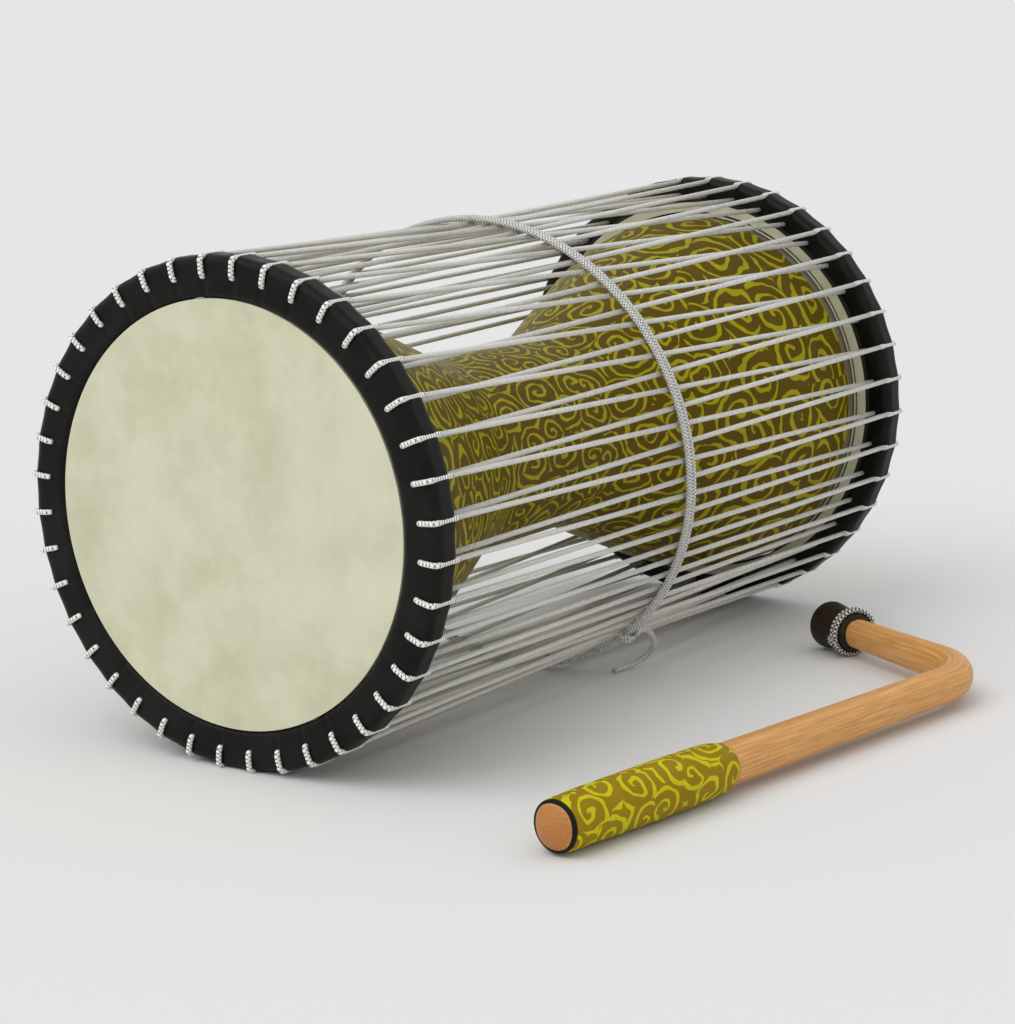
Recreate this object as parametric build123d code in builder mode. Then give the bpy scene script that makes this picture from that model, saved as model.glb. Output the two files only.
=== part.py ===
from build123d import *
import math
import os

# Talking drum lying on its side, with its bent beater beside it.
# The drum's axis runs along Y and the front head faces -Y.
# The origin is the middle of the flat under the front ring, and Z = 0 is the floor.

# Rings
ring_outer_r = 114.0
ring_width = 18.6
ring_depth = 15.0
ring_outer_round = 4.5
ring_inner_round = 2.5
floor_flat_depth = 0.45
drum_length = 410.0

# Lacing
lacing_points = 40
cord_d = 2.4
hole_inset = 9.0
cord_sink = 0.5
face_rise = 0.5
loop_bend_r = 3.4
rear_twist_steps = 0.25
channel_gap = 0.05
strand_ring_gap = 0.95
strand_split_gap = 2.6

# Heads, hoops and skin laps
head_recess = 0.9
head_t = 0.9
head_gap = 0.4
skirt_reach = 1.0
hoop_wire_d = 4.0
lap_width = 6.8
lap_t = 1.4
lap_gap = 0.8

# Shell and its printed wrap
shell_t = 6.0
wrap_t = 0.6
fit_gap = 0.05
waist_r = 47.0
waist_length = 72.0
waist_shift = -6.0
wrap_margin = 5.0
waist_slope = 0.06
rim_slope = 0.06
# Along a bowl, from the waist to the rim: share of its length, share of its swell.
bowl_swell = ((0.27, 0.28), (0.52, 0.63), (0.76, 0.93))

# Drawstring, its knot and its tail, all of a thicker cord than the lacing
drawstring_d = 2.9
drawstring_shift = -1.8
drawstring_tilt = 0.121
drawstring_turns = 2
drawstring_gap = 0.45
drawstring_lift = 0.35
knot_angle = -52.0
knot_length = 6.0
knot_height = 5.4
knot_round = 1.2
knot_channel_gap = 0.3
# The tail's route from the knot: run along X, run along Y, share of the knot's height above the floor.
tail_route = (
    (0.4, 13.6, 0.85),
    (-1.4, 19.6, 0.65),
    (-4.4, 23.6, 0.43),
    (-9.0, 24.6, 0.23),
    (-13.8, 21.4, 0.07),
    (-16.5, 14.9, 0.01),
    (-18.0, 8.6, 0.0),
)
tail_first_run = 7.4

# Knots where lengths of lacing cord are joined: which step round the drum, how far along the strand
splice_steps = ((30, 0.20), (29, 0.28))
splice_length = 7.0
splice_r = 2.4

# Groups of strands that bow in together on each side, by their angle from the side's middle
centre_edge = 13.5
upper_edge = 36.0
high_edge = 58.5

# Beater
beater_start = (186.9, -38.4)
beater_heading = 83.2
shaft_length = 306.4
hook_length = 122.0
hook_turn = 70.0
bend_r = 38.0
stick_end_r = 10.2
stick_bend_r = 8.6
stick_tip_r = 7.0
end_dome = 4.0
trim_t = 1.6
trim_r = 11.2
grip_length = 107.0
grip_start_r = 11.7
grip_middle_r = 12.2
grip_shoulder = 9.0
grip_shoulder_r = 11.7
grip_end_r = 10.1
grip_swell_slope = 0.02
grip_shoulder_slope = 0.05
grip_taper_slope = 0.4
cap_length = 27.0
cap_r = 11.8
cap_neck_r = 10.2
cap_t = 1.4
cap_round = 4.0
padding_cover = 3.0
tie_d = 2.2
tie_turns = 2
tie_inset = 4.2
tie_gap = 0.1
tie_knot_length = 4.6
tie_knot_height = 4.0
tie_knot_angle = -15.0

# Worked out from the sizes above
axis_height = ring_outer_r - floor_flat_depth
ring_bore_r = ring_outer_r - ring_width
hole_r = ring_outer_r - hole_inset
front_ring_y = 0.0
rear_ring_y = drum_length - ring_depth
middle_y = (front_ring_y + rear_ring_y) / 2
front_inner_y = front_ring_y + ring_depth / 2
rear_inner_y = rear_ring_y - ring_depth / 2
step = 360 / lacing_points
front_phase = step / 2
rear_phase = front_phase + rear_twist_steps * step
cord_r = cord_d / 2
edge_r = ring_outer_r - cord_sink - cord_r
hoop_r = (hole_r + edge_r) / 2
head_r = ring_bore_r - head_gap
rim_r = head_r - head_t - fit_gap
wrap_rim_r = rim_r + wrap_t + fit_gap
front_head_y = front_ring_y - ring_depth / 2 + head_recess
rear_head_y = rear_ring_y + ring_depth / 2 - head_recess
front_rim_y = front_head_y + head_t + fit_gap
rear_rim_y = rear_head_y - head_t - fit_gap
waist_y = middle_y + waist_shift
drawstring_y = middle_y + drawstring_shift
drawstring_r = hoop_r + cord_r + drawstring_lift + drawstring_d / 2
drawstring_pitch = drawstring_d + drawstring_gap
knot_width = drawstring_turns * drawstring_pitch + drawstring_d + 2 * fit_gap
drum_axis = Axis((0, 0, axis_height), (0, -1, 0))
profile_plane = Plane.XY.offset(axis_height)


def keep(builder, name):
    """Label a finished piece and write it under its own name."""
    builder.part.label = name
    export_step(builder.part, f"parts/{name}.step")


def round_axis(radius, y, angle):
    """Point at an angle round the drum's axis, from +X towards +Z."""
    turn = math.radians(angle)
    return Vector(radius * math.cos(turn), y, axis_height + radius * math.sin(turn))


def rod(start, end, radius, mode=Mode.ADD):
    """Straight round rod between two points, added to the part being built or cut from it."""
    with Locations(Plane(origin=start, z_dir=end - start)):
        Cylinder(radius, (end - start).length, align=(Align.CENTER, Align.CENTER, Align.MIN), mode=mode)


def tube_along(path, diameter):
    """Sweep a round section along the path just drawn."""
    with BuildSketch(Plane(origin=path.line @ 0, z_dir=path.line % 0)) as section:
        Circle(diameter / 2)
    sweep(section.sketch, path=path.line)


# Winding made of biarcs


def biarc(start, start_direction, end, end_direction):
    """Two arcs that leave start and reach end along the given directions."""
    chord = end - start
    both = start_direction + end_direction
    spread = 2 * (1 - start_direction.dot(end_direction))
    reach = chord.dot(both)
    arm = (-reach + math.sqrt(reach**2 + spread * chord.dot(chord))) / spread
    first_corner = start + start_direction * arm
    last_corner = end - end_direction * arm
    middle = (first_corner + last_corner) / 2
    TangentArc(start, middle, tangent=start_direction)
    TangentArc(middle, end, tangent=(last_corner - first_corner).normalized())


def winding(place, turns, knot_reach, tube_d, first_turn):
    """Turns of one unbroken tube, with straight ends that point at the knot between them.

    The arcs meet at first_turn and at each quarter turn after it.
    """
    knot_centre, along = place(turns / 2)
    first, first_direction = place(0.0)
    last, last_direction = place(float(turns))
    first_reach = knot_reach - (first - knot_centre).dot(along)
    last_reach = knot_reach + (last - knot_centre).dot(along)
    start = (first + first_direction * (first_reach + tube_d), first_direction)
    finish = (last - last_direction * (last_reach + tube_d), last_direction)
    quarter_count = math.ceil(4 * (turns - first_turn))
    quarters = [place(first_turn + quarter / 4) for quarter in range(quarter_count)]
    stations = [start, *quarters, finish]
    Line(first + first_direction * first_reach, start[0])
    for here, there in zip(stations, stations[1:]):
        biarc(*here, *there)
    Line(finish[0], last - last_direction * last_reach)


def build_knot(place, turns, length, width, height, tube_d, corner):
    """Rounded knot over a winding's ends, with a channel for the turn that runs through it."""
    centre, along = place(turns / 2)
    opposite = (place(turns / 2 + 0.5)[0] + place(turns / 2 - 0.5)[0]) / 2
    side = along.cross(centre - opposite).normalized()
    knot_plane = Plane(origin=centre, x_dir=along, z_dir=side.cross(along))
    with BuildPart() as knot:
        with BuildSketch(knot_plane.offset(-tube_d / 2 - fit_gap)):
            Rectangle(length, width)
        extrude(amount=height)
        long_edges = edges().filter_by(lambda edge: abs((edge % 0.5).dot(along)) > 0.99)
        fillet(long_edges, corner)
        reach = along * length
        rod(centre - reach, centre + reach, tube_d / 2 + knot_channel_gap, mode=Mode.SUBTRACT)
    return knot, knot_plane


def least_gap(path, tube_d, turn_length):
    """Least clear gap between neighbouring turns of a winding, measured on points along it."""
    centre_line = path.wire()
    length = centre_line.length
    count = int(length / 2)
    points = [centre_line @ (index / count) for index in range(count + 1)]
    apart = int(0.5 * turn_length / length * count)
    gaps = [
        (points[one] - points[other]).length - tube_d
        for one in range(count + 1)
        for other in range(one + apart, count + 1)
    ]
    return min(gaps)


# Shell and wrap


def hourglass(inset):
    """Outline from the front rim to the rear rim, drawn in from the wrap's surface by inset."""
    for rim_y, way in ((front_rim_y, -1), (rear_rim_y, 1)):
        waist_end = waist_y + way * waist_length / 2
        bowl_length = rim_y - waist_end
        swell = wrap_rim_r - waist_r
        points = [(waist_r - inset, waist_end)]
        points += [
            (waist_r - inset + rise * swell, waist_end + share * bowl_length)
            for share, rise in bowl_swell
        ]
        points.append((wrap_rim_r - inset, rim_y))
        Spline(*points, tangents=((waist_slope, way), (rim_slope, way)))
    Line((waist_r - inset, waist_y - waist_length / 2), (waist_r - inset, waist_y + waist_length / 2))


def hourglass_layer(outer_inset, inner_inset):
    """Closed profile between two outlines of the hourglass."""
    hourglass(outer_inset)
    hourglass(inner_inset)
    for rim_y in (front_rim_y, rear_rim_y):
        Line((wrap_rim_r - outer_inset, rim_y), (wrap_rim_r - inner_inset, rim_y))


with BuildPart() as shell:
    with BuildSketch(profile_plane):
        with BuildLine():
            hourglass_layer(wrap_t + fit_gap, wrap_t + shell_t)
        make_face()
    revolve(axis=drum_axis)

wrap_front_y = front_inner_y + lap_t + wrap_margin
wrap_rear_y = rear_inner_y - lap_t - wrap_margin
with BuildPart() as wrap:
    with BuildSketch(profile_plane):
        with BuildLine():
            hourglass_layer(0, wrap_t)
        make_face()
    revolve(axis=drum_axis)
    with Locations((0, (wrap_front_y + wrap_rear_y) / 2, axis_height)):
        Box(2 * ring_outer_r, wrap_rear_y - wrap_front_y, 2 * ring_outer_r, mode=Mode.INTERSECT)


# Heads, rings, hoops, laps and loops, the same at both ends


def build_head(head_y, skirt_y):
    """Skin disc with its edge turned down over the shell's rim."""
    inward = math.copysign(1, skirt_y - head_y)
    with BuildPart() as head:
        with BuildSketch(profile_plane):
            with BuildLine():
                Polyline(
                    (0, head_y),
                    (head_r, head_y),
                    (head_r, skirt_y),
                    (head_r - head_t, skirt_y),
                    (head_r - head_t, head_y + inward * head_t),
                    (0, head_y + inward * head_t),
                    close=True,
                )
            make_face()
        revolve(axis=drum_axis)
    return head


def build_loops(ring_y, outward, phase, diameter):
    """Cord through each hole, out along the ring's face and back over its edge."""
    inner_y = ring_y - outward * ring_depth / 2
    face_y = ring_y + outward * (ring_depth / 2 + face_rise)
    with BuildPart() as one_loop:
        with BuildLine(profile_plane) as path:
            FilletPolyline(
                (hole_r, inner_y), (hole_r, face_y), (edge_r, face_y), (edge_r, inner_y), radius=loop_bend_r
            )
        tube_along(path, diameter)
    with BuildPart() as loops:
        add([one_loop.part.rotate(drum_axis, phase + index * step) for index in range(lacing_points)])
    return loops


def build_hoop(ring_y):
    """Wire hoop inside the ring, between the holes and the ring's edge."""
    with BuildPart() as hoop:
        with BuildSketch(profile_plane):
            with Locations((hoop_r, ring_y)):
                Circle(hoop_wire_d / 2)
        revolve(axis=drum_axis)
    return hoop


def build_ring_cover(ring_y, outward, phase, hoop):
    """Padded cover with a channel for each turn of cord and a flat where it lies on the floor."""
    channels = build_loops(ring_y, outward, phase, cord_d + 2 * channel_gap)
    with BuildPart() as cover:
        with BuildSketch(profile_plane):
            with Locations(((ring_bore_r + ring_outer_r) / 2, ring_y)):
                Rectangle(ring_outer_r - ring_bore_r, ring_depth)
            corners = vertices().group_by(Axis.X)
            fillet(corners[-1], ring_outer_round)
            face_corner = vertices().group_by(Axis.X)[0].sort_by(Axis.Y)[0 if outward < 0 else -1]
            fillet(face_corner, ring_inner_round)
        revolve(axis=drum_axis)
        add(hoop.part, mode=Mode.SUBTRACT)
        add(channels.part, mode=Mode.SUBTRACT)
        with Locations((0, ring_y, 0)):
            Box(
                ring_outer_r, 2 * ring_depth, floor_flat_depth,
                align=(Align.CENTER, Align.CENTER, Align.MAX), mode=Mode.SUBTRACT,
            )
    return cover


def build_lap(inner_y, inward):
    """Pale band of lapped skin on the ring's inner side."""
    lap_inner_r = ring_bore_r + lap_gap
    with BuildPart() as lap:
        with BuildSketch(profile_plane):
            with Locations((lap_inner_r + lap_width / 2, inner_y + inward * lap_t / 2)):
                Rectangle(lap_width, lap_t)
        revolve(axis=drum_axis)
    return lap


# Strands


def strand_ends():
    """Front end, rear end and middle angle of each strand of the lacing."""
    for index in range(lacing_points):
        front_angle = front_phase + index * step
        rear_angle = rear_phase + index * step
        yield (
            round_axis(edge_r, front_inner_y, front_angle),
            round_axis(hole_r, rear_inner_y, rear_angle - step),
            (front_angle + rear_angle - step) / 2,
        )
        yield (
            round_axis(hole_r, front_inner_y, front_angle),
            round_axis(edge_r, rear_inner_y, rear_angle),
            (front_angle + rear_angle) / 2,
        )


def split_share(front, rear):
    """Share of a strand's length where the drawstring crosses it."""
    run = rear - front
    start = drawstring_y - drawstring_tilt * (front.Z - axis_height) - front.Y
    return start / (run.Y + drawstring_tilt * run.Z)


def strand_halves(front, rear):
    """The two lengths of one strand, with a gap at each ring and one under the drawstring."""
    along = (rear - front).normalized()
    split = front + (rear - front) * split_share(front, rear)
    front_half = (front + along * strand_ring_gap, split - along * strand_split_gap / 2)
    rear_half = (split + along * strand_split_gap / 2, rear - along * strand_ring_gap)
    return front_half, rear_half


def group_name(angle):
    """Name of the group that a strand belongs to, from its angle round the drum."""
    turned = (angle + 180) % 360 - 180
    right = abs(turned) < 90
    from_middle = turned if right else math.copysign(180, turned) - turned
    if abs(from_middle) > high_edge:
        return "still"
    side = "right" if right else "left"
    if abs(from_middle) < centre_edge:
        return f"{side}_centre"
    if abs(from_middle) < upper_edge:
        return f"{side}_upper" if from_middle > 0 else f"{side}_lower"
    return f"{side}_high" if from_middle > 0 else f"{side}_low"


strand_groups = {}
for front_end, rear_end, middle_angle in strand_ends():
    front_half, rear_half = strand_halves(front_end, rear_end)
    group = group_name(middle_angle)
    strand_groups.setdefault(f"strands_front_{group}", []).append(front_half)
    strand_groups.setdefault(f"strands_rear_{group}", []).append(rear_half)


def build_strands(halves):
    """One group of half strands."""
    with BuildPart() as strands:
        for start, end in halves:
            rod(start, end, cord_r)
    return strands


def splice_place(point_step, share):
    """Centre and direction of a splice knot on a strand's rear half."""
    front = round_axis(hole_r, front_inner_y, front_phase + point_step * step)
    rear = round_axis(edge_r, rear_inner_y, rear_phase + point_step * step)
    split = split_share(front, rear)
    return front + (rear - front) * (split + share * (1 - split)), (rear - front).normalized()


with BuildPart() as lacing_knots:
    for point_step, share in splice_steps:
        centre, along = splice_place(point_step, share)
        with BuildSketch(Plane(origin=centre, x_dir=along.cross(Vector(0, 0, 1)), z_dir=Vector(0, 0, 1))):
            with BuildLine():
                bore = cord_r + channel_gap
                half = splice_length / 2
                ThreePointArc((bore, -half), (splice_r, 0), (bore, half))
                Line((bore, half), (bore, -half))
            make_face()
        revolve(axis=Axis(centre, along))


# Drawstring


def drawstring_place(turn):
    """Point on the drawstring and its direction, after some turns from the knot."""
    angle = math.radians(knot_angle) + 2 * math.pi * turn
    climb = drawstring_pitch * (turn - drawstring_turns / 2)
    lean = -drawstring_tilt * drawstring_r * math.sin(angle)
    point = round_axis(drawstring_r, drawstring_y + lean + climb, math.degrees(angle))
    direction = Vector(
        -drawstring_r * math.sin(angle),
        -drawstring_tilt * drawstring_r * math.cos(angle) + drawstring_pitch / (2 * math.pi),
        drawstring_r * math.cos(angle),
    )
    return point, direction.normalized()


# The arcs meet at the drum's lowest line, so that none of them bulges into the floor.
turn_to_side = -knot_angle % 90 / 360
with BuildPart() as drawstring:
    with BuildLine() as drawstring_path:
        winding(drawstring_place, drawstring_turns, knot_length / 2, drawstring_d, turn_to_side)
    tube_along(drawstring_path, drawstring_d)
drawstring_self_gap = least_gap(drawstring_path, drawstring_d, 2 * math.pi * drawstring_r)
print(f"drawstring least gap to itself {drawstring_self_gap:.2f} mm")


drawstring_knot, knot_plane = build_knot(
    drawstring_place, drawstring_turns, knot_length, knot_width, knot_height, drawstring_d, knot_round
)

# The tail leaves the knot's rear side and lies down on the floor.
tail_r = drawstring_d / 2
knot_middle = knot_height / 2 - tail_r - fit_gap
rear_side = 1 if knot_plane.y_dir.Y > 0 else -1
tail_exit = knot_plane.origin + knot_plane.z_dir * knot_middle + knot_plane.y_dir * rear_side * knot_width / 2
tail_points = [tail_exit, tail_exit + knot_plane.y_dir * rear_side * tail_first_run]
for run_x, run_y, height_share in tail_route:
    height = tail_r + fit_gap + (tail_exit.Z - tail_r) * height_share
    tail_points.append(Vector(tail_exit.X + run_x, tail_exit.Y + run_y, height))


def corner_radii(points):
    """Largest arc that each corner's two runs allow."""
    radii = []
    for before, corner, after in zip(points, points[1:], points[2:]):
        arriving = corner - before
        leaving = after - corner
        half_turn = math.radians(arriving.get_angle(leaving)) / 2
        radii.append(0.45 * min(arriving.length, leaving.length) / math.tan(half_turn))
    return radii


tail_radii = corner_radii(tail_points)
with BuildPart() as drawstring_tail:
    with BuildLine() as tail_path:
        FilletPolyline(*tail_points, radius=tail_radii)
    tube_along(tail_path, drawstring_d)
tail_length = tail_path.wire().length
tail_volume_share = drawstring_tail.part.volume / (math.pi * tail_r**2 * tail_length)
print("tail points", [tuple(round(value, 2) for value in point) for point in tail_points])
print("tail radii", [round(radius, 1) for radius in tail_radii])
print(f"tail length {tail_length:.1f} mm, volume over section times length {tail_volume_share:.4f}")


# Beater, lying flat: the shaft along its own X axis, the hook turned towards the drum

tie_r = cap_neck_r + tie_d / 2 + tie_gap
beater_height = max(grip_middle_r, cap_r, tie_r + tie_d / 2)
heading = math.radians(beater_heading)
shaft_plane = Plane(
    origin=(*beater_start, beater_height),
    x_dir=(math.cos(heading), math.sin(heading), 0),
    z_dir=(0, 0, 1),
)
bend_run = bend_r * math.tan(math.radians(hook_turn) / 2)
straight_shaft = shaft_length - bend_run
straight_hook = hook_length - bend_run
hook_heading = heading + math.radians(hook_turn)
hook_along = Vector(math.cos(hook_heading), math.sin(hook_heading), 0)
bend_corner = shaft_plane.origin + shaft_plane.x_dir * shaft_length
hook_plane = Plane(origin=bend_corner + hook_along * bend_run, x_dir=hook_along, z_dir=(0, 0, 1))
shaft_axis = Axis(shaft_plane.origin, shaft_plane.x_dir)
hook_axis = Axis(hook_plane.origin, hook_plane.x_dir)

# Along the hook, measured from the end of the bend
cap_mouth = straight_hook - cap_length
stick_tip = straight_hook - cap_t - padding_cover


def shaft_r(distance):
    """Radius of the tapered shaft at a distance from the grip's end."""
    return stick_end_r + (stick_bend_r - stick_end_r) * distance / straight_shaft


def hook_r(distance):
    """Radius of the tapered hook at a distance from the bend."""
    return stick_bend_r + (stick_tip_r - stick_bend_r) * distance / stick_tip


with BuildPart() as beater_stick:
    with BuildSketch(shaft_plane):
        with BuildLine():
            dome_r = shaft_r(end_dome)
            sphere_r = (dome_r**2 + end_dome**2) / (2 * end_dome)
            RadiusArc((0, 0), (end_dome, dome_r), sphere_r)
            Polyline(
                (end_dome, dome_r), (straight_shaft, stick_bend_r), (straight_shaft, 0), (0, 0)
            )
        make_face()
    revolve(axis=shaft_axis)
    with BuildSketch(Plane(origin=hook_plane.origin, z_dir=hook_along)):
        Circle(stick_bend_r)
    bend_centre = hook_plane.origin + hook_plane.y_dir * bend_r
    revolve(axis=Axis(bend_centre, (0, 0, -1)), revolution_arc=hook_turn)
    with BuildSketch(hook_plane):
        with BuildLine():
            Polyline((0, 0), (0, stick_bend_r), (stick_tip, stick_tip_r), (stick_tip, 0), close=True)
        make_face()
    revolve(axis=hook_axis)

trim_start = end_dome
grip_start = trim_start + trim_t
grip_finish = grip_start + grip_length
with BuildPart() as beater_grip_trim:
    with BuildSketch(shaft_plane):
        with BuildLine():
            Polyline(
                (trim_start, shaft_r(trim_start) + fit_gap),
                (trim_start, trim_r),
                (grip_start, trim_r),
                (grip_start, shaft_r(grip_start) + fit_gap),
                close=True,
            )
        make_face()
    revolve(axis=shaft_axis)

with BuildPart() as beater_grip:
    with BuildSketch(shaft_plane):
        with BuildLine():
            Spline(
                (grip_start, grip_start_r),
                (grip_start + grip_length / 2, grip_middle_r),
                (grip_finish - grip_shoulder, grip_shoulder_r),
                (grip_finish, grip_end_r),
                tangents=((1, grip_swell_slope), (1, 0), (1, -grip_shoulder_slope), (1, -grip_taper_slope)),
            )
            Polyline(
                (grip_finish, grip_end_r),
                (grip_finish, shaft_r(grip_finish) + fit_gap),
                (grip_start, shaft_r(grip_start) + fit_gap),
                (grip_start, grip_start_r),
            )
        make_face()
    revolve(axis=shaft_axis)

with BuildPart() as beater_padding:
    with BuildSketch(hook_plane):
        with BuildLine():
            padding_end = straight_hook - cap_t - fit_gap
            padding_r = cap_neck_r - cap_t - fit_gap
            Polyline(
                (cap_mouth + cap_t, hook_r(cap_mouth + cap_t) + fit_gap),
                (cap_mouth + cap_t, padding_r),
                (padding_end, padding_r),
                (padding_end, 0),
                (stick_tip + fit_gap, 0),
                (stick_tip + fit_gap, stick_tip_r + fit_gap),
                close=True,
            )
        make_face()
    revolve(axis=hook_axis)

with BuildPart() as beater_cap:
    with BuildSketch(hook_plane):
        with BuildLine():
            cap_shoulder = straight_hook - cap_round
            neck_end = cap_mouth + 2 * tie_inset
            Line((cap_mouth, cap_neck_r), (neck_end, cap_neck_r))
            Spline((neck_end, cap_neck_r), (cap_shoulder, cap_r), tangents=((1, 0), (1, 0)))
            JernArc((cap_shoulder, cap_r), (1, 0), cap_round, -90)
            Polyline(
                (straight_hook, cap_r - cap_round),
                (straight_hook, 0),
                (straight_hook - cap_t, 0),
                (straight_hook - cap_t, cap_neck_r - cap_t),
                (cap_mouth, cap_neck_r - cap_t),
                (cap_mouth, cap_neck_r),
            )
        make_face()
    revolve(axis=hook_axis)

tie_pitch = tie_d + drawstring_gap
tie_plane = Plane(
    origin=hook_plane.origin + hook_along * (cap_mouth + tie_inset),
    x_dir=hook_plane.y_dir,
    z_dir=hook_along,
)


def tie_place(turn):
    """Point on the tie and its direction, after some turns from its knot."""
    angle = math.radians(tie_knot_angle) + 2 * math.pi * turn
    climb = tie_pitch * (turn - tie_turns / 2)
    point = tie_plane.from_local_coords((tie_r * math.cos(angle), tie_r * math.sin(angle), climb))
    ahead = tie_plane.from_local_coords(
        (
            tie_r * math.cos(angle) - tie_r * math.sin(angle),
            tie_r * math.sin(angle) + tie_r * math.cos(angle),
            climb + tie_pitch / (2 * math.pi),
        )
    )
    return Vector(point), (Vector(ahead) - Vector(point)).normalized()


# The tie's arcs also meet at its lowest point, a little over a quarter turn from the knot.
tie_first_turn = (90 - tie_knot_angle) / 360
with BuildPart() as beater_tie:
    with BuildLine() as tie_path:
        winding(tie_place, tie_turns, tie_knot_length / 2, tie_d, tie_first_turn)
    tube_along(tie_path, tie_d)
tie_self_gap = least_gap(tie_path, tie_d, 2 * math.pi * tie_r)
print(f"beater tie least gap to itself {tie_self_gap:.2f} mm")
tie_knot_width = tie_turns * tie_pitch + tie_d + 2 * fit_gap
beater_tie_knot, _ = build_knot(
    tie_place, tie_turns, tie_knot_length, tie_knot_width, tie_knot_height, tie_d, knot_round
)


# Write every piece

front_hoop = build_hoop(front_ring_y)
rear_hoop = build_hoop(rear_ring_y)
pieces = {
    "shell": shell,
    "wrap": wrap,
    "front_head": build_head(front_head_y, front_inner_y + skirt_reach),
    "rear_head": build_head(rear_head_y, rear_inner_y - skirt_reach),
    "front_ring_cover": build_ring_cover(front_ring_y, -1, front_phase, front_hoop),
    "rear_ring_cover": build_ring_cover(rear_ring_y, 1, rear_phase, rear_hoop),
    "front_hoop": front_hoop,
    "rear_hoop": rear_hoop,
    "front_skin_lap": build_lap(front_inner_y, 1),
    "rear_skin_lap": build_lap(rear_inner_y, -1),
    "front_lacing_loops": build_loops(front_ring_y, -1, front_phase, cord_d),
    "rear_lacing_loops": build_loops(rear_ring_y, 1, rear_phase, cord_d),
    "lacing_knots": lacing_knots,
    "drawstring": drawstring,
    "drawstring_knot": drawstring_knot,
    "drawstring_tail": drawstring_tail,
    "beater_stick": beater_stick,
    "beater_grip": beater_grip,
    "beater_grip_trim": beater_grip_trim,
    "beater_padding": beater_padding,
    "beater_cap": beater_cap,
    "beater_tie": beater_tie,
    "beater_tie_knot": beater_tie_knot,
}
for name, halves in strand_groups.items():
    pieces[name] = build_strands(halves)

os.makedirs("parts", exist_ok=True)
for name, piece in pieces.items():
    keep(piece, name)
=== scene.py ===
# %% [markdown]
# A talking drum lies on its side with its bent beater beside it.
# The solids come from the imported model, in metres, and each one already moves with its own body.
# This script gives them their real surfaces: skin, padded cover, braided cord, printed cloth, wood
# and leather, and then sets up the camera and the light.

import math

import bmesh
import bpy
from mathutils import Matrix, Vector, noise


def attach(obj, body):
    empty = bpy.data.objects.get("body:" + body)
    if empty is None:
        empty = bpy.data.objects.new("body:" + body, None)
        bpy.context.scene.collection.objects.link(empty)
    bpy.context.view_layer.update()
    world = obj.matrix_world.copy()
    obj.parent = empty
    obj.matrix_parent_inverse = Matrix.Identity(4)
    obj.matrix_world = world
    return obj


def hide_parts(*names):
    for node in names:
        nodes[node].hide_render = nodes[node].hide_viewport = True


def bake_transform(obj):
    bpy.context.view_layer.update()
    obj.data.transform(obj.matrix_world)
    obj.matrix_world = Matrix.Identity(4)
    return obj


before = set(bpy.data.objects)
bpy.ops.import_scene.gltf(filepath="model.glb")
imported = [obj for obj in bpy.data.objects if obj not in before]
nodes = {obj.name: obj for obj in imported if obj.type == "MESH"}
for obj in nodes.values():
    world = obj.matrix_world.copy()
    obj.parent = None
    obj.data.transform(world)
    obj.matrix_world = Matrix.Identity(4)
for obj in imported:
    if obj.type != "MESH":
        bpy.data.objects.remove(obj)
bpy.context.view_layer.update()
mm = 0.001
print("loaded", len(nodes), "solids")


# %% [markdown]
# The camera stands in front of the drum, a little to its right and above it.
# Its place and lens were worked out from the two rings, which are equal circles on one axis.
# A camera looks along its own -Z, so its matrix is built from the right, up and back directions.

# %% Camera
camera_place = Vector((819.45, -964.12, 368.22)) * mm
camera_right = Vector((0.8206, 0.5712, -0.0172))
camera_up = Vector((-0.0998, 0.1729, 0.9799))
camera_back = Vector((0.5627, -0.8024, 0.1989))
frame_height_px = 1024
focal_px = 2959.9
sensor_height = 36.0

camera = bpy.data.objects.new("camera", bpy.data.cameras.new("camera"))
bpy.context.scene.collection.objects.link(camera)
camera_turn = Matrix((camera_right, camera_up, camera_back)).transposed()
camera.matrix_world = Matrix.Translation(camera_place) @ camera_turn.to_4x4()
camera.data.sensor_fit = "VERTICAL"
camera.data.sensor_height = sensor_height
camera.data.lens = focal_px * sensor_height / frame_height_px
camera.data.clip_end = 100
bpy.context.scene.camera = camera
bpy.context.scene.view_settings.view_transform = "Standard"
print("lens", round(camera.data.lens, 1), "mm")


# %% [markdown]
# Colours are written as the sRGB hex values that a paint program shows. Shaders work in linear
# light, so one function converts them. One more function adds a shader node: a value that is
# a socket is linked, and any other value is typed into the input.

# %% Colour and node helpers
def linear(hex_colour):
    channels = [int(hex_colour[place:place + 2], 16) / 255 for place in (0, 2, 4)]
    return [c / 12.92 if c <= 0.04045 else ((c + 0.055) / 1.055) ** 2.4 for c in channels] + [1.0]


def add(tree, kind, values=None, **settings):
    node = tree.nodes.new(kind)
    for name, value in settings.items():
        setattr(node, name, value)
    for key, value in (values or {}).items():
        if isinstance(value, bpy.types.NodeSocket):
            tree.links.new(value, node.inputs[key])
        else:
            node.inputs[key].default_value = value
    return node


def new_material(name, roughness, **inputs):
    material = bpy.data.materials.new(name)
    material.use_nodes = True
    shader = material.node_tree.nodes["Principled BSDF"]
    shader.inputs["Roughness"].default_value = roughness
    for key, value in inputs.items():
        shader.inputs[key.replace("_", " ")].default_value = value
    return material, material.node_tree, shader


def math_node(tree, operation, first, second=0.0, third=0.0):
    return add(tree, "ShaderNodeMath", {0: first, 1: second, 2: third}, operation=operation).outputs[0]


def mix_colours(tree, share, first, second):
    mixed = add(tree, "ShaderNodeMix", {0: share, 6: first, 7: second}, data_type="RGBA")
    return mixed.outputs[2]


def between(tree, value, low, high):
    ranged = add(tree, "ShaderNodeMapRange", {0: value, 1: low, 2: high}, interpolation_type="SMOOTHSTEP")
    return ranged.outputs[0]


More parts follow.
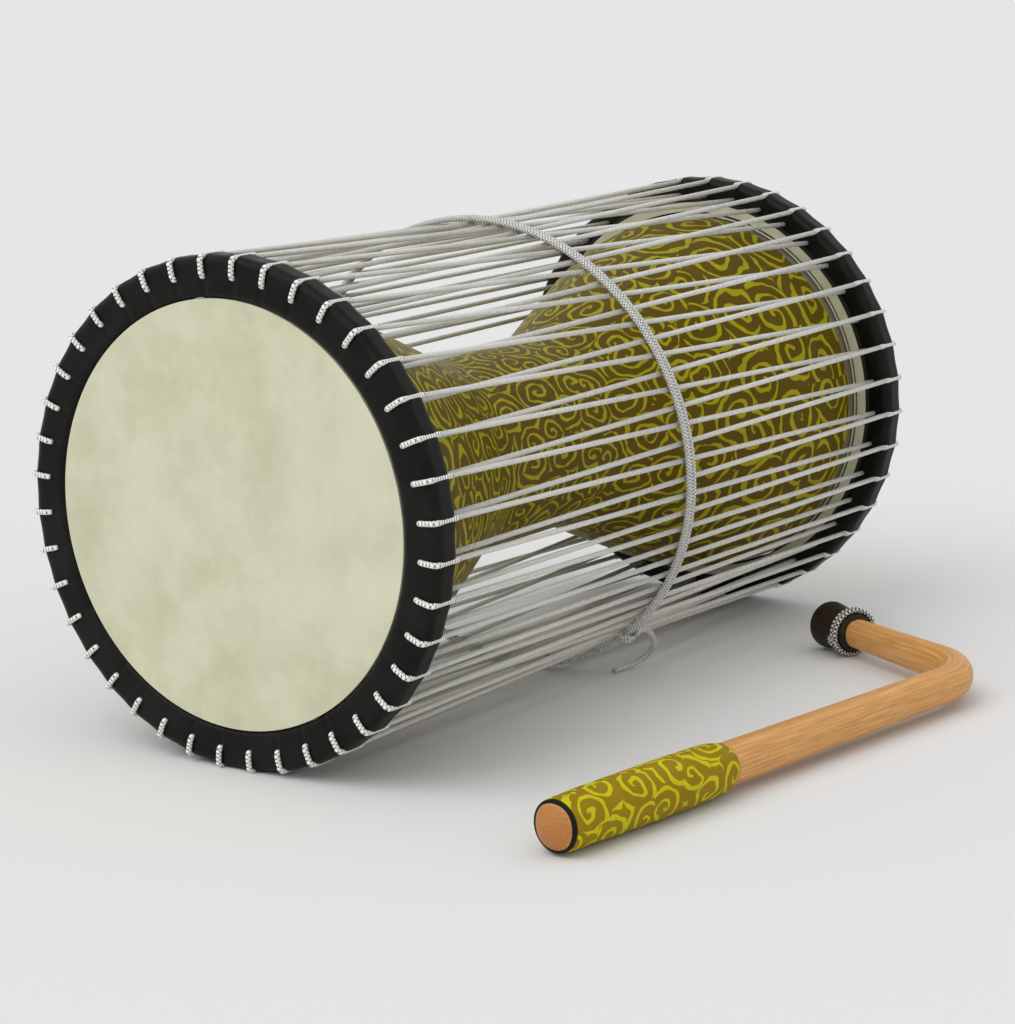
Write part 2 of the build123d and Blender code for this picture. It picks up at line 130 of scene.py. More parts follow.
def bump(tree, shader, height, distance, strength=1.0):
    bumped = add(tree, "ShaderNodeBump", {"Height": height, "Distance": distance, "Strength": strength})
    tree.links.new(bumped.outputs[0], shader.inputs["Normal"])


backdrop_grey = "E6E6E6"
print("backdrop grey", [round(value, 3) for value in linear(backdrop_grey)])


# %% [markdown]
# The floor is a plain pale sheet that reaches past the edges of the picture, so its far edge never
# shows. One soft sun lamp shines from high in front of the drum and lights the whole floor alike,
# which keeps the background one colour. An even sky fills the rest, and the camera sees it in the
# same pale grey as the floor.

# %% Floor and light
floor_size = 60.0
floor_mesh = bpy.data.meshes.new("floor")
floor_shape = bmesh.new()
bmesh.ops.create_grid(floor_shape, x_segments=1, y_segments=1, size=floor_size / 2)
floor_shape.to_mesh(floor_mesh)
floor_shape.free()
floor = bpy.data.objects.new("floor", floor_mesh)
bpy.context.scene.collection.objects.link(floor)
floor_paper, _, floor_shader = new_material("matt backdrop paper", 0.95, Specular_IOR_Level=0.0)
floor_shader.inputs["Base Color"].default_value = linear(backdrop_grey)
floor_mesh.materials.append(floor_paper)

sky_strength = 0.76
world = bpy.data.worlds.new("sky")
bpy.context.scene.world = world
world.use_nodes = True
sky = world.node_tree.nodes["Background"]
light_path = add(world.node_tree, "ShaderNodeLightPath")
seen = math_node(world.node_tree, "MAXIMUM", light_path.outputs["Is Camera Ray"],
                 light_path.outputs["Is Transmission Ray"])
sky_colour = mix_colours(world.node_tree, seen, [sky_strength] * 3 + [1], linear(backdrop_grey))
world.node_tree.links.new(sky_colour, sky.inputs["Color"])

key_strength = 0.96
key_spread = math.radians(50)
key_from = Vector((-0.25, -0.75, 1.0))
key = bpy.data.objects.new("key", bpy.data.lights.new("key", "SUN"))
bpy.context.scene.collection.objects.link(key)
key.data.energy = key_strength
key.data.angle = key_spread
key.rotation_euler = key_from.to_track_quat("Z", "Y").to_euler()
print("key lamp from", tuple(key_from))


# %% [markdown]
# Cords, the stick, the grip and the cap are all swept along a line. A ring of vertices is made at
# the start, extruded step by step and moved to the next place on the line. Two UV maps are written.
# "turn" records the share of a turn round the ring and the distance along the line in millimetres,
# so a braid can follow the cord. "section" records the place in the cross-section, so that wood grain
# runs through the stick from end to end wherever it bends.

# %% Sweep helper
nearly_upright = 0.9


def places_along(points):
    sideways = Vector((0, 0, 1))
    first_run = (points[1] - points[0]).normalized()
    if abs(first_run.dot(sideways)) > nearly_upright:
        sideways = Vector((0, 1, 0))
    places = []
    for index, point in enumerate(points):
        before = points[max(index - 1, 0)]
        after = points[min(index + 1, len(points) - 1)]
        along = (after - before).normalized()
        sideways = (sideways - along * sideways.dot(along)).normalized()
        turn = Matrix((sideways, along.cross(sideways), along)).transposed()
        places.append(Matrix.Translation(point) @ turn.to_4x4())
    return places


def sweep(shape, points, radii, sides, section=None):
    for name in ("turn", "section"):
        if name not in shape.loops.layers.uv:
            shape.loops.layers.uv.new(name)
    turn_map = shape.loops.layers.uv["turn"]
    section_map = shape.loops.layers.uv["section"]
    places = places_along(points)
    sized = [place @ Matrix.Diagonal((r, r, 1, 1)) for place, r in zip(places, radii)]
    ring = bmesh.ops.create_circle(shape, segments=sides, radius=1.0, matrix=sized[0])["verts"]
    edges = list({edge for vert in ring for edge in vert.link_edges})
    bmesh.ops.contextual_create(shape, geom=edges)
    step_of = {vert: 0 for vert in ring}
    distances = [0.0]
    for step in range(1, len(points)):
        grown = bmesh.ops.extrude_edge_only(shape, edges=edges)["geom"]
        ring = [item for item in grown if isinstance(item, bmesh.types.BMVert)]
        bmesh.ops.transform(shape, matrix=sized[step] @ sized[step - 1].inverted(), verts=ring)
        step_of.update({vert: step for vert in ring})
        edges = [e for e in grown if isinstance(e, bmesh.types.BMEdge) and set(e.verts) <= set(ring)]
        distances.append(distances[-1] + (points[step] - points[step - 1]).length)
    bmesh.ops.contextual_create(shape, geom=edges)
    turn_of = {}
    section_of = {}
    for vert, step in step_of.items():
        local = sized[step].inverted() @ vert.co
        section_of[vert] = local.to_2d() * radii[step] / mm
        turn_of[vert] = math.atan2(local.y, local.x) / (2 * math.pi) % 1.0
        if section:
            stretch = section(turn_of[vert], distances[step])
            vert.co = sized[step] @ Vector((local.x * stretch, local.y * stretch, local.z))
    faces = {face for vert in step_of for face in vert.link_faces}
    for face in faces:
        face.smooth = True
        turns = [turn_of[loop.vert] for loop in face.loops]
        wraps = max(turns) - min(turns) > 0.5
        for loop, turn in zip(face.loops, turns):
            whole = turn + 1 if wraps and turn < 0.5 else turn
            loop[turn_map].uv = (whole, distances[step_of[loop.vert]] / mm)
            loop[section_map].uv = section_of[loop.vert]
    bmesh.ops.recalc_face_normals(shape, faces=list(faces))
    return list(step_of)


def finish_piece(shape, name, material, body=None, replaced=()):
    mesh = bpy.data.meshes.new(name)
    shape.to_mesh(mesh)
    shape.free()
    mesh.materials.append(material)
    piece = bpy.data.objects.new(name, mesh)
    bpy.context.scene.collection.objects.link(piece)
    if body:
        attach(piece, body)
    if replaced:
        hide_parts(*replaced)
    return piece


def paint(name, material):
    mesh = nodes[name].data
    mesh.materials.clear()
    mesh.materials.append(material)


# %% [markdown]
# The lacing is a round polyester braid: silver-grey yarns with darker gaps between them. Yarns run
# both ways round the cord, so two sets of slanting waves are multiplied into small diamonds.
# The drawstring is a heavier braid, the bends on the rings are paler, and the tie is black and white.

# %% Braided cord
yarn_relief = 0.16 * mm


def braid(name, pale, dark, plait_mm, yarns, gap_low, gap_high, uneven):
    material, tree, shader = new_material(name, 0.6)
    uv = add(tree, "ShaderNodeUVMap", uv_map="turn")
    split = add(tree, "ShaderNodeSeparateXYZ", {0: uv.outputs[0]})
    run = math_node(tree, "MULTIPLY", split.outputs[1], 2 * math.pi / plait_mm)
    round_cord = math_node(tree, "MULTIPLY", split.outputs[0], 2 * math.pi * yarns)
    rising = math_node(tree, "SINE", math_node(tree, "ADD", run, round_cord))
    falling = math_node(tree, "SINE", math_node(tree, "SUBTRACT", run, round_cord))
    diamond = math_node(tree, "ABSOLUTE", math_node(tree, "MULTIPLY", rising, falling))
    place = add(tree, "ShaderNodeTexCoord")
    fibre = add(tree, "ShaderNodeTexNoise", {
        "Vector": place.outputs["Object"], "Scale": 900.0, "Detail": 3.0})
    centred = math_node(tree, "SUBTRACT", fibre.outputs[0], 0.5)
    shifted = math_node(tree, "MULTIPLY_ADD", centred, uneven, diamond)
    yarn = between(tree, shifted, gap_low, gap_high)
    worn = between(tree, fibre.outputs[0], 0.38, 0.66)
    yarn_colour = mix_colours(tree, worn, linear(pale[0]), linear(pale[1]))
    colour = mix_colours(tree, yarn, linear(dark), yarn_colour)
    tree.links.new(colour, shader.inputs["Base Color"])
    bump(tree, shader, yarn, yarn_relief, 0.8)
    return material


grey_braid = braid("silver-grey polyester braid", ("FDFDF8", "E2E1DA"), "A09E96",
                   plait_mm=2.4, yarns=3, gap_low=0.0, gap_high=0.34, uneven=0.2)
bright_braid = braid("white polyester braid", ("FDFDFA", "EFEEE9"), "302F2A",
                     plait_mm=3.4, yarns=1, gap_low=0.05, gap_high=0.20, uneven=0.2)
string_braid = braid("heavy grey polyester braid", ("ECECE9", "CBCBC7"), "66645E",
                     plait_mm=3.4, yarns=2, gap_low=0.01, gap_high=0.34, uneven=0.2)
flecked_braid = braid("black and white cotton braid", ("E4E2DC", "C9C6BE"), "121110",
                      plait_mm=4.2, yarns=1, gap_low=0.26, gap_high=0.44, uneven=0.8)
print("made four braids")


# %% [markdown]
# Eighty strands run from ring to ring. At each end a strand meets its ring either at the edge or
# at a hole, so neighbours open into a narrow V. Each strand is two lengths that meet under the
# drawstring, because the groups of strands hinge there when the drum is squeezed.

# %% Strands
axis_height = 113.55 * mm
cord_r = 1.2 * mm
edge_r = 112.3 * mm
hole_r = 105.0 * mm
front_inner_y = 7.5 * mm
rear_inner_y = 387.5 * mm
lacing_points = 40
step_deg = 360 / lacing_points
front_phase = 4.5
rear_phase = 6.75
drawstring_y = 195.7 * mm
drawstring_tilt = 0.121
group_edges = (13.5, 36.0, 58.5)
strand_sides = 10
ring_overlap = 2.0 * mm


def round_axis(radius, y, angle_deg):
    turn = math.radians(angle_deg)
    return Vector((radius * math.cos(turn), y, axis_height + radius * math.sin(turn)))


def group_of(angle):
    turned = (angle + 180) % 360 - 180
    right = abs(turned) < 90
    from_middle = turned if right else math.copysign(180, turned) - turned
    if abs(from_middle) > group_edges[2]:
        return "still"
    side = "right" if right else "left"
    if abs(from_middle) < group_edges[0]:
        return side + "_centre"
    if abs(from_middle) < group_edges[1]:
        return side + ("_upper" if from_middle > 0 else "_lower")
    return side + ("_high" if from_middle > 0 else "_low")


def strand_lines():
    for index in range(lacing_points):
        front = front_phase + index * step_deg
        rear = rear_phase + index * step_deg
        before = rear - step_deg
        at_edge = round_axis(edge_r, front_inner_y, front)
        at_hole = round_axis(hole_r, front_inner_y, front)
        yield at_edge, round_axis(hole_r, rear_inner_y, before), (front + before) / 2
        yield at_hole, round_axis(edge_r, rear_inner_y, rear), (front + rear) / 2


def crossing(front, rear):
    run = rear - front
    start = drawstring_y - drawstring_tilt * (front.z - axis_height) - front.y
    return front + run * start / (run.y + drawstring_tilt * run.z)


strand_shapes = {}
for front_end, rear_end, middle_angle in strand_lines():
    group = group_of(middle_angle)
    along = (rear_end - front_end).normalized()
    meeting = crossing(front_end, rear_end)
    for end, start, stop in (
        ("front", front_end - along * ring_overlap, meeting + along * cord_r),
        ("rear", meeting - along * cord_r, rear_end + along * ring_overlap),
    ):
        shape = strand_shapes.setdefault((end, group), bmesh.new())
        sweep(shape, [start, stop], [cord_r, cord_r], strand_sides)
for (end, group), shape in strand_shapes.items():
    body = "drum" if group == "still" else f"{end}_strands_{group}"
    finish_piece(shape, f"{end}_cords_{group}", grey_braid, body, [f"strands_{end}_{group}"])
print("made", len(strand_shapes), "groups of strands")


# %% [markdown]
# At each point the cord comes up through a hole in the ring, crosses its face and goes back over
# the edge. On the face it shows as a short bright stub with a beaded look, because the plait stands
# out where the cord is bent. One stub is swept and then copied round the ring.

# %% Lacing loops
ring_depth = 15.0 * mm
rear_ring_y = 395.0 * mm
stub_r = 1.25 * mm
stub_hole_r = 104.3 * mm
stub_edge_r = 113.1 * mm
face_rise = 0.8 * mm
loop_bend_r = 2.0 * mm
bead_length = 1.7 * mm
bead_swell = 0.09
loop_sides = 10
loop_arc_steps = 6
axis_centre = Vector((0, 0, axis_height))
ring_ends = (("front", 0.0, -1, front_phase), ("rear", rear_ring_y, 1, rear_phase))


def loop_line(ring_y, outward):
    inner_y = ring_y - outward * ring_depth / 2
    face_y = ring_y + outward * (ring_depth / 2 + face_rise)
    corners = [(stub_hole_r, face_y, 1), (stub_edge_r, face_y, -1)]
    line = [(stub_hole_r, inner_y)]
    for radius, y, way in corners:
        centre_r = radius + way * loop_bend_r
        centre_y = y - outward * loop_bend_r
        for step in range(loop_arc_steps + 1):
            turn = math.pi / 2 * step / loop_arc_steps
            if way < 0:
                turn = math.pi / 2 - turn
            line.append((
                centre_r - way * loop_bend_r * math.cos(turn),
                centre_y + outward * loop_bend_r * math.sin(turn),
            ))
    line.append((stub_edge_r, inner_y))
    return [Vector((radius, y, axis_height)) for radius, y in line]


def spaced(points, spacing):
    walked = [0.0]
    for here, there in zip(points, points[1:]):
        walked.append(walked[-1] + (there - here).length)
    count = round(walked[-1] / spacing)
    even = []
    run = 0
    for index in range(count + 1):
        target = walked[-1] * index / count
        while run < len(points) - 2 and walked[run + 1] < target:
            run += 1
        share = (target - walked[run]) / max(walked[run + 1] - walked[run], 1e-9)
        even.append(points[run].lerp(points[run + 1], share))
    return even


def beaded(turn, distance):
    return 1 + bead_swell * math.cos(2 * math.pi * distance / bead_length)


for end, ring_y, outward, phase in ring_ends:
    shape = bmesh.new()
    line = spaced(loop_line(ring_y, outward), bead_length / 4)
    sweep(shape, line, [stub_r] * len(line), loop_sides, beaded)
    turn_first = Matrix.Translation(axis_centre) @ Matrix.Rotation(math.radians(-phase), 4, "Y")
    bmesh.ops.transform(shape, matrix=turn_first @ Matrix.Translation(-axis_centre), verts=shape.verts)
    bmesh.ops.spin(shape, geom=shape.verts[:] + shape.edges[:] + shape.faces[:], cent=axis_centre,
                   axis=(0, -1, 0), angle=2 * math.pi * (lacing_points - 1) / lacing_points,
                   steps=lacing_points - 1, use_duplicate=True)
    for vert in shape.verts:
        vert.co.z = max(vert.co.z, 0.0)
    piece = finish_piece(shape, f"{end}_stubs", bright_braid, "drum", [f"{end}_lacing_loops"])
    print(piece.name, len(piece.data.polygons), "faces")


# %% [markdown]
# Each ring is a hoop padded and covered in smooth black sheet. A rounded profile is spun round the
# drum's axis. Between the cords the cover lies straight, and below each stub a fine crease runs
# across the face towards the skin.

# %% Ring covers
ring_outer_r = 114.0 * mm
ring_bore_r = 95.4 * mm
ring_outer_round = 4.5 * mm
ring_inner_round = 2.5 * mm
ring_steps = 640
crease_depth = 0.45 * mm
crease_width = 1.3 * mm
ridge_drop = 0.5 * mm
face_dip = 0.25 * mm
face_share = 0.9
long_edge = 3.0 * mm
long_edge_cuts = 5
weld_reach = 0.01 * mm

black_cover, cover_tree, cover_shader = new_material("black coated cloth", 0.42, Specular_IOR_Level=0.14)
cover_place = add(cover_tree, "ShaderNodeTexCoord").outputs["Object"]
cover_patch = add(cover_tree, "ShaderNodeTexNoise", {"Vector": cover_place, "Scale": 45.0, "Detail": 5.0})
patch_share = between(cover_tree, cover_patch.outputs[0], 0.35, 0.7)
cover_colour = mix_colours(cover_tree, patch_share, linear("0B0C09"), linear("181915"))
cover_tree.links.new(cover_colour, cover_shader.inputs["Base Color"])
cover_grain = add(cover_tree, "ShaderNodeTexVoronoi", {"Vector": cover_place, "Scale": 900.0})
cover_rough = math_node(cover_tree, "MULTIPLY_ADD", patch_share, 0.16, 0.36)
cover_tree.links.new(cover_rough, cover_shader.inputs["Roughness"])
bump(cover_tree, cover_shader, cover_grain.outputs[0], 0.08 * mm, 0.6)

for end, ring_y, outward, phase in ring_ends:
    shape = bmesh.new()
    corners = [shape.verts.new((radius, ring_y + y, axis_height)) for radius, y in (
        (ring_bore_r, -ring_depth / 2), (ring_outer_r, -ring_depth / 2),
        (ring_outer_r, ring_depth / 2), (ring_bore_r, ring_depth / 2))]
    shape.faces.new(corners)
    outer_corners = corners[1:3]
    bmesh.ops.bevel(shape, geom=outer_corners, offset=ring_outer_round, offset_type="OFFSET",
                    affect="VERTICES", segments=6, profile=0.5, material=-1)
    corner_place = Vector((ring_bore_r, ring_y + outward * ring_depth / 2, axis_height))
    inner_corner = min(shape.verts, key=lambda vert: (vert.co - corner_place).length)
    bmesh.ops.bevel(shape, geom=[inner_corner], offset=ring_inner_round, offset_type="OFFSET",
                    affect="VERTICES", segments=4, profile=0.5, material=-1)
    long_edges = [edge for edge in shape.edges if edge.calc_length() > long_edge]
    bmesh.ops.subdivide_edges(shape, edges=long_edges, cuts=long_edge_cuts)
    bmesh.ops.delete(shape, geom=shape.faces[:], context="FACES_ONLY")
    bmesh.ops.spin(shape, geom=shape.verts[:] + shape.edges[:], cent=axis_centre, axis=(0, -1, 0),
                   angle=2 * math.pi, steps=ring_steps, use_merge=True)
    bmesh.ops.remove_doubles(shape, verts=shape.verts, dist=weld_reach)
    bmesh.ops.recalc_face_normals(shape, faces=shape.faces)
    for vert in shape.verts:
        across = Vector((vert.co.x, 0, vert.co.z - axis_height))
        angle = math.degrees(math.atan2(across.z, across.x))
        from_cord = (angle - phase + step_deg / 2) % step_deg - step_deg / 2
        between_cords = 0.5 - 0.5 * math.cos(2 * math.pi * from_cord / step_deg)
        off_cord = math.radians(from_cord) * across.length
        crease = crease_depth * math.exp(-((off_cord / crease_width) ** 2))
        outer_share = max(0.0, (across.length - hole_r) / (ring_outer_r - hole_r))
        depth_share = (vert.co.y - ring_y) * outward / (ring_depth / 2)
        if depth_share > face_share:
            vert.co.y -= outward * (crease + face_dip * between_cords * outer_share)
        across -= across.normalized() * ridge_drop * between_cords * outer_share
        vert.co.x = across.x
        vert.co.z = max(axis_height + across.z, 0.0)
    for face in shape.faces:
        face.smooth = True
    piece = finish_piece(shape, f"{end}_cover", black_cover, "drum", [f"{end}_ring_cover"])
    print(piece.name, len(piece.data.polygons), "faces")


# %% [markdown]
# The heads are scraped goat skin: cream, a little greener in the thin places, with soft cloudy
# mottling. The flat discs of the model are right as they are and only need this finish. The laps
# behind the rings are the same skin, black at the edge that goes under the cover.

# %% Skins
dyed_edge_r = 101.2 * mm
dye_blur = 0.3 * mm
skin, skin_tree, skin_shader = new_material("scraped goat skin", 0.6)
skin_place = add(skin_tree, "ShaderNodeTexCoord").outputs["Object"]
clouds = add(skin_tree, "ShaderNodeTexNoise", {
    "Vector": skin_place, "Scale": 30.0, "Detail": 8.0, "Roughness": 0.65})
patches = add(skin_tree, "ShaderNodeTexNoise", {"Vector": skin_place, "Scale": 8.0, "Detail": 4.0})
cloud_share = between(skin_tree, clouds.outputs[0], 0.3, 0.7)
cloudy = mix_colours(skin_tree, cloud_share, linear("C3C2A4"), linear("D7D6BA"))
pale_share = between(skin_tree, patches.outputs[0], 0.42, 0.75)
patched = mix_colours(skin_tree, pale_share, cloudy, linear("DDDBC3"))
from_axis = add(skin_tree, "ShaderNodeVectorMath", {0: skin_place, 1: (0, 0, axis_height)},
                operation="SUBTRACT")
across_axis = add(skin_tree, "ShaderNodeVectorMath", {0: from_axis.outputs[0], 1: (1, 0, 1)},
                  operation="MULTIPLY")
radius = add(skin_tree, "ShaderNodeVectorMath", {0: across_axis.outputs[0]}, operation="LENGTH")
dyed = between(skin_tree, radius.outputs["Value"], dyed_edge_r - dye_blur, dyed_edge_r)
skin_colour = mix_colours(skin_tree, dyed, patched, linear("0D0E0C"))
skin_tree.links.new(skin_colour, skin_shader.inputs["Base Color"])
bump(skin_tree, skin_shader, clouds.outputs[0], 0.4 * mm, 0.35)
for name in ("front_head", "rear_head", "front_skin_lap", "rear_skin_lap"):
    paint(name, skin)

hoop_steel, hoop_tree, hoop_shader = new_material("drawn steel wire", 0.35, Metallic=1.0)
hoop_place = add(hoop_tree, "ShaderNodeTexCoord")
hoop_streak = add(hoop_tree, "ShaderNodeTexNoise", {"Vector": hoop_place.outputs["Object"], "Scale": 300.0})
hoop_colour = mix_colours(hoop_tree, hoop_streak.outputs[0], linear("8C8C8C"), linear("B4B4B2"))
hoop_tree.links.new(hoop_colour, hoop_shader.inputs["Base Color"])
paint("front_hoop", hoop_steel)
paint("rear_hoop", hoop_steel)
print("skins and hoops painted")


# %% [markdown]
# Shell and grip wear the same kind of printed cloth: bright chartreuse brush marks on olive brown.
# The print here is a plain curl pattern. Space is divided into cells of about 20 mm, each cell has
# a centre, and a stroke is drawn where the distance from the centre and the angle round it add up to
# a spiral. The noise makes the strokes swell and break as a brush does.

# %% Printed cloth
wobble_mm = 11.0
wobble_per_mm = 0.06
swell_per_mm = 0.11
cell_disorder = 0.8
stroke_swell = 2.2
stroke_level = -0.55
thread_mm = 0.9


def curl_print(tree, across_mm, along_mm, cell_mm, stroke_mm):
    flat = add(tree, "ShaderNodeCombineXYZ", {0: across_mm, 1: along_mm, 2: 0.0}).outputs[0]
    wobble = add(tree, "ShaderNodeTexNoise", {"Vector": flat, "Scale": wobble_per_mm, "Detail": 2.0})
    centred = add(tree, "ShaderNodeVectorMath", {0: wobble.outputs["Color"], 1: (0.5, 0.5, 0.5)},
                  operation="SUBTRACT")
    pushed = add(tree, "ShaderNodeVectorMath", {0: centred.outputs[0], "Scale": wobble_mm},
                 operation="SCALE")
    bent = add(tree, "ShaderNodeVectorMath", {0: flat, 1: pushed.outputs[0]}, operation="ADD").outputs[0]
    cells = add(tree, "ShaderNodeTexVoronoi", {
        "Vector": bent, "Scale": 1 / cell_mm, "Randomness": cell_disorder}, voronoi_dimensions="2D")
    local = add(tree, "ShaderNodeVectorMath", {0: bent, 1: cells.outputs["Position"]}, operation="SUBTRACT")
    spread = add(tree, "ShaderNodeVectorMath", {0: local.outputs[0]}, operation="LENGTH").outputs["Value"]
    parts = add(tree, "ShaderNodeSeparateXYZ", {0: local.outputs[0]})
    angle = math_node(tree, "ARCTAN2", parts.outputs[1], parts.outputs[0])
    draw = add(tree, "ShaderNodeSeparateColor", {0: cells.outputs["Color"]})
    handed = math_node(tree, "SIGN", math_node(tree, "SUBTRACT", draw.outputs[0], 0.5))
    turned = math_node(tree, "MULTIPLY", angle, math_node(tree, "DIVIDE", handed, 2 * math.pi))
    rings = math_node(tree, "DIVIDE", spread, stroke_mm)
    spiral = math_node(tree, "ADD", math_node(tree, "ADD", rings, turned), draw.outputs[1])
    wave = math_node(tree, "SINE", math_node(tree, "MULTIPLY", spiral, 2 * math.pi))
    swell = add(tree, "ShaderNodeTexNoise", {"Vector": flat, "Scale": swell_per_mm, "Detail": 3.0})
    level = math_node(tree, "MULTIPLY_ADD", swell.outputs[0], stroke_swell, stroke_level)
    return between(tree, math_node(tree, "SUBTRACT", wave, level), -0.06, 0.10)


def cloth(name, across_of, along_of, grounds, inks, roughness, cell_mm, stroke_mm):
    material, tree, shader = new_material(name, roughness, Specular_IOR_Level=0.12)
    across, along = across_of(tree), along_of(tree)
    stroke = curl_print(tree, across, along, cell_mm, stroke_mm)
    place = add(tree, "ShaderNodeTexCoord")
    shade = add(tree, "ShaderNodeTexNoise", {"Vector": place.outputs["Object"], "Scale": 60.0, "Detail": 4.0})
    ground = mix_colours(tree, shade.outputs[0], linear(grounds[0]), linear(grounds[1]))
    ink = mix_colours(tree, shade.outputs[0], linear(inks[0]), linear(inks[1]))
    tree.links.new(mix_colours(tree, stroke, ground, ink), shader.inputs["Base Color"])
    warp = math_node(tree, "SINE", math_node(tree, "MULTIPLY", across, 2 * math.pi / thread_mm))
    weft = math_node(tree, "SINE", math_node(tree, "MULTIPLY", along, 2 * math.pi / thread_mm))
    bump(tree, shader, math_node(tree, "MULTIPLY", warp, weft), 0.05 * mm, 0.5)
    return material


def axis_part(tree, index):
    place = add(tree, "ShaderNodeTexCoord")
    return add(tree, "ShaderNodeSeparateXYZ", {0: place.outputs["Object"]}).outputs[index]


print_girth_mm = 66.0


def round_shell(tree):
    height = math_node(tree, "SUBTRACT", axis_part(tree, 2), axis_height)
    angle = math_node(tree, "ARCTAN2", axis_part(tree, 0), height)
    return math_node(tree, "MULTIPLY", angle, print_girth_mm)


def along_shell(tree):
    return math_node(tree, "DIVIDE", axis_part(tree, 1), mm)


# The shell's grounds and inks are darker than the grip's. This is partly a darker, glossier cloth and partly
# painted shade for the shadow that the strands cast on the shell.
shell_cloth_with_painted_shade = cloth("printed cotton on the shell with painted shade", round_shell, along_shell,
                    grounds=("584504", "6E5909"), inks=("98910A", "BAB312"), roughness=0.4,
                    cell_mm=24.0, stroke_mm=6.2)
paint("wrap", shell_cloth_with_painted_shade)

fibre, fibre_tree, fibre_shader = new_material("moulded wood fibre", 0.55)
fibre_place = add(fibre_tree, "ShaderNodeTexCoord").outputs["Object"]
fibre_noise = add(fibre_tree, "ShaderNodeTexNoise", {"Vector": fibre_place, "Scale": 150.0, "Detail": 6.0})
fibre_colour = mix_colours(fibre_tree, fibre_noise.outputs[0], linear("6F6A58"), linear("8B8672"))
fibre_tree.links.new(fibre_colour, fibre_shader.inputs["Base Color"])
bump(fibre_tree, fibre_shader, fibre_noise.outputs[0], 0.2 * mm, 0.4)
paint("shell", fibre)
print("shell dressed")


# %% [markdown]
# The drawstring goes twice round the strands. When the drum is squeezed the strands bow in at both sides,
# so each side is swept as its own piece. Neither piece is attached to a body here.

# %% Drawstring
drawstring_r = 111.65 * mm
drawstring_pitch = 3.35 * mm
string_r = 1.45 * mm
knot_angle = -52.0
string_sides = 12
string_points = 96
fewest_points = 8


def drawstring_point(turn):
    angle = math.radians(knot_angle) + 2 * math.pi * turn
    lean = -drawstring_tilt * drawstring_r * math.sin(angle)
    y = drawstring_y + lean + drawstring_pitch * (turn - 1.0)
    return round_axis(drawstring_r, y, math.degrees(angle))


def turn_at(angle, lap):
    return (angle - knot_angle) / 360 + lap


for side, spans in (
    ("right", ((0.0, turn_at(90, 0)), (turn_at(-90, 1), turn_at(90, 1)), (turn_at(-90, 2), 2.0))),
    ("left", ((turn_at(90, 0), turn_at(270, 0)), (turn_at(90, 1), turn_at(270, 1)))),
):
    shape = bmesh.new()
    for first, last in spans:
        count = max(int(string_points * (last - first)), fewest_points)
        line = [drawstring_point(first + (last - first) * index / count) for index in range(count + 1)]
        sweep(shape, line, [string_r] * len(line), string_sides)
    piece = finish_piece(shape, f"drawstring_{side}", string_braid, None, ["drawstring"])
    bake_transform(piece)
    print(piece.name, len(piece.data.polygons), "faces")


# %% [markdown]
# Knots are made as what they are: a few tight wraps of the same cord round what they hold. A wrap is
# a helix round a centre line, flattened where it has to go round two or three cords side by side.

# %% Knots
wrap_steps = 20


def wrap_line(centre, along, outward, half_width, half_height, turns, pitch):
    side = along.cross(outward).normalized()
    steps = int(turns * wrap_steps)
    line = []
    for index in range(steps + 1):
        turn = 2 * math.pi * turns * index / steps
        offset = side * half_width * math.cos(turn) + outward * half_height * math.sin(turn)
        line.append(centre + offset + along * pitch * (turn / (2 * math.pi) - turns / 2))
    return line


knot_turn = 1.0
turn_step = 0.004
knot_wrap_r = 1.25 * mm
knot_rise = 1.0 * mm
knot_point = drawstring_point(knot_turn)
knot_along = (drawstring_point(knot_turn + turn_step) - drawstring_point(knot_turn - turn_step)).normalized()
knot_out = (knot_point - Vector((0, knot_point.y, axis_height))).normalized()
shape = bmesh.new()
line = wrap_line(knot_point + knot_out * knot_rise, knot_along, knot_out,
                 half_width=3.7 * mm, half_height=2.0 * mm, turns=2.2, pitch=2.3 * mm)
sweep(shape, line, [knot_wrap_r] * len(line), string_sides)
finish_piece(shape, "string_knot", string_braid, "drum", ["drawstring_knot"])

splices = ((30, 0.20), (29, 0.28))
splice_wrap_r = 1.0 * mm
splice_half = cord_r + 0.8 * mm
shape = bmesh.new()
for point_step, share in splices:
    front = round_axis(hole_r, front_inner_y, front_phase + point_step * step_deg)
    rear = round_axis(edge_r, rear_inner_y, rear_phase + point_step * step_deg)
    meeting = crossing(front, rear)
    centre = meeting.lerp(rear, share)
    along = (rear - front).normalized()
    outward = (centre - Vector((0, centre.y, axis_height))).normalized()
    line = wrap_line(centre, along, outward, splice_half, splice_half, turns=3, pitch=2.0 * mm)
    sweep(shape, line, [splice_wrap_r] * len(line), strand_sides)
finish_piece(shape, "splice_knots", string_braid, "drum", ["lacing_knots"])
print("made the knots")


# %% [markdown]
# The free end of the drawstring leaves the knot, drops to the floor and turns back under the drum.
# It is limp and shows from end to end, so its length is the one in the picture. The route is a NURBS
# curve through a few control points, and the braid is swept along the line which that curve gives.

# %% Drawstring tail
tail_route = (
    (69.46, 211.28, 25.2), (69.43, 218.62, 26.07), (69.86, 224.88, 21.69), (68.06, 230.88, 16.94),
    (65.06, 234.88, 11.71), (60.46, 235.88, 6.96), (55.66, 232.68, 3.16), (52.96, 226.18, 1.74),
    (51.46, 219.88, 1.5),
)
route_curve = bpy.data.curves.new("tail_route", "CURVE")
route_curve.dimensions = "3D"
route = route_curve.splines.new("NURBS")
route.points.add(len(tail_route) - 1)
for control, place in zip(route.points, tail_route):
    control.co = (*(Vector(place) * mm), 1.0)
route.order_u = 3
route.use_endpoint_u = True
route.resolution_u = 6
route_holder = bpy.data.objects.new("tail_route", route_curve)
bpy.context.scene.collection.objects.link(route_holder)
route_mesh = bpy.data.meshes.new_from_object(route_holder)
tail_points = [vert.co.copy() for vert in route_mesh.vertices]
